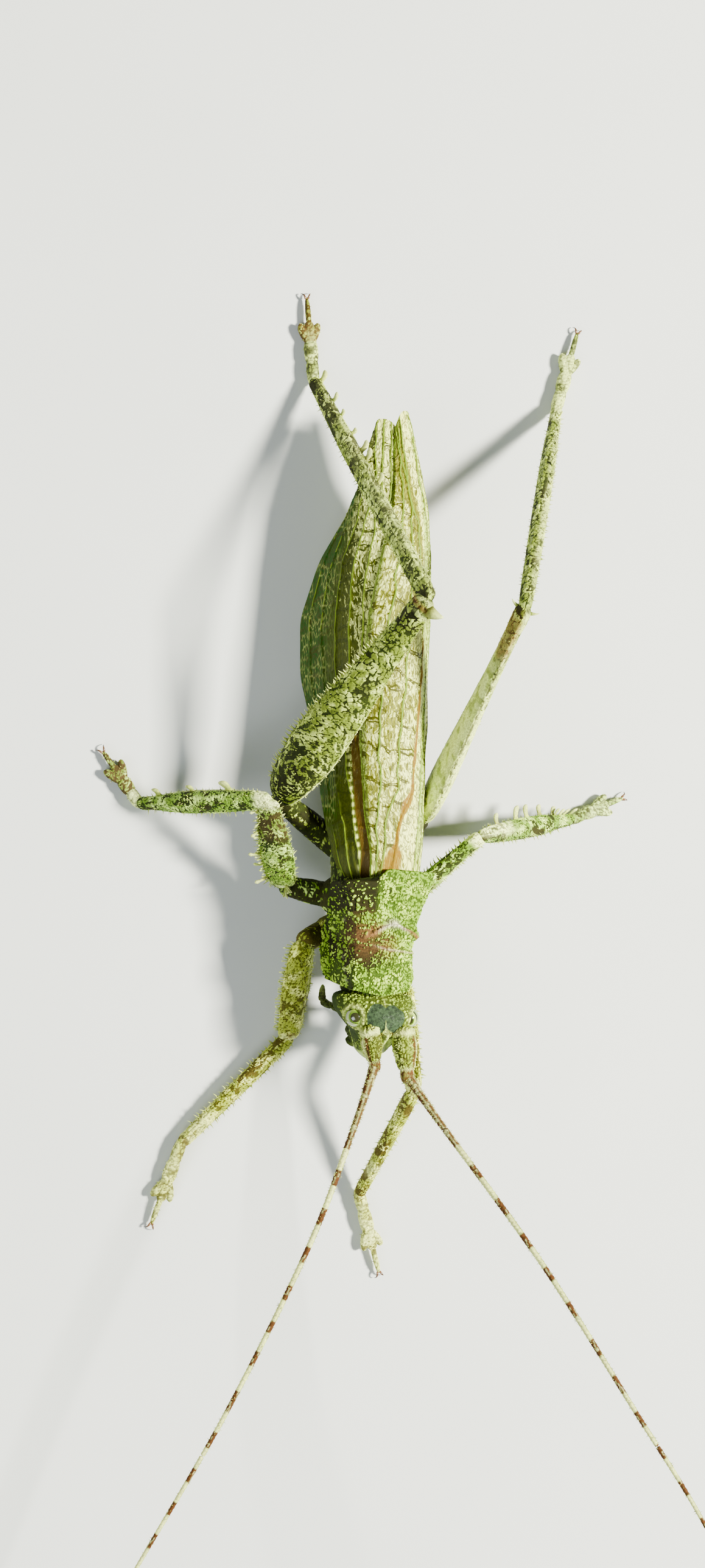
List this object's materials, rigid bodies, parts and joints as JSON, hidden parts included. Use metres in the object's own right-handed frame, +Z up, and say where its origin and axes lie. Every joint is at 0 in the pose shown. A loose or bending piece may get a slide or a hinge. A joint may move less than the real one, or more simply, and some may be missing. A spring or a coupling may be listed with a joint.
{
  "type": "long-horned grasshopper, bark-mimicking bush-cricket",
  "caption": "Life-size still model of a mottled long-horned grasshopper, standing with its veined fore wings folded roof-like, lobed spiny legs spread and long thread-like feelers held forward.",
  "frame": {"origin": "the middle of the model's box, on the plane that the feet stand on", "axes": "+Y from the feelers' tips to the wing tips, +X to the animal's left, +Z up"},
  "size_m": [0.0644, 0.1256, 0.0298],
  "materials": {
    "mottled_shell": "granular, mottled pale green, cream and dark brown",
    "veined_wing": "satin, cream and pale green with raised veins and brown cross marks",
    "brown_horn": "smooth brown horn, slightly glossy",
    "eye_glass": "wet-looking, banded green and brown",
    "feeler_brown": "fine rings of red-brown and pale brown"
  },
  "bodies": {
    "root": {"abdomen": "mottled_shell", "antenna_left_base": "feeler_brown", "antenna_left_middle": "feeler_brown", "antenna_left_scape": "feeler_brown", "antenna_left_tip": "feeler_brown", "antenna_right_base": "feeler_brown", "antenna_right_middle": "feeler_brown", "antenna_right_scape": "feeler_brown", "antenna_right_tip": "feeler_brown", "cercus_left": "brown_horn", "cercus_right": "brown_horn", "eye_left": "eye_glass", "eye_right": "eye_glass", "head": "mottled_shell", "labrum": "mottled_shell", "leg_fore_left_coxa": "mottled_shell", "leg_fore_left_femur": "mottled_shell", "leg_fore_left_tarsus": "mottled_shell", "leg_fore_left_tibia": "mottled_shell", "leg_fore_right_coxa": "mottled_shell", "leg_fore_right_femur": "mottled_shell", "leg_fore_right_tarsus": "mottled_shell", "leg_fore_right_tibia": "mottled_shell", "leg_hind_left_coxa": "mottled_shell", "leg_hind_left_femur": "mottled_shell", "leg_hind_left_tarsus": "mottled_shell", "leg_hind_left_tibia": "mottled_shell", "leg_hind_right_coxa": "mottled_shell", "leg_hind_right_femur": "mottled_shell", "leg_hind_right_tarsus": "mottled_shell", "leg_hind_right_tibia": "mottled_shell", "leg_mid_left_coxa": "mottled_shell", "leg_mid_left_femur": "mottled_shell", "leg_mid_left_tarsus": "mottled_shell", "leg_mid_left_tibia": "mottled_shell", "leg_mid_right_coxa": "mottled_shell", "leg_mid_right_femur": "mottled_shell", "leg_mid_right_tarsus": "mottled_shell", "leg_mid_right_tibia": "mottled_shell", "mandible_left": "brown_horn", "mandible_right": "brown_horn", "ovipositor": "brown_horn", "palp_labial_left": "brown_horn", "palp_labial_right": "brown_horn", "palp_maxillary_left": "brown_horn", "palp_maxillary_right": "brown_horn", "pronotum": "mottled_shell", "tegmen_left": "veined_wing", "tegmen_right": "veined_wing", "thorax": "mottled_shell"}
  },
  "joints": []
}
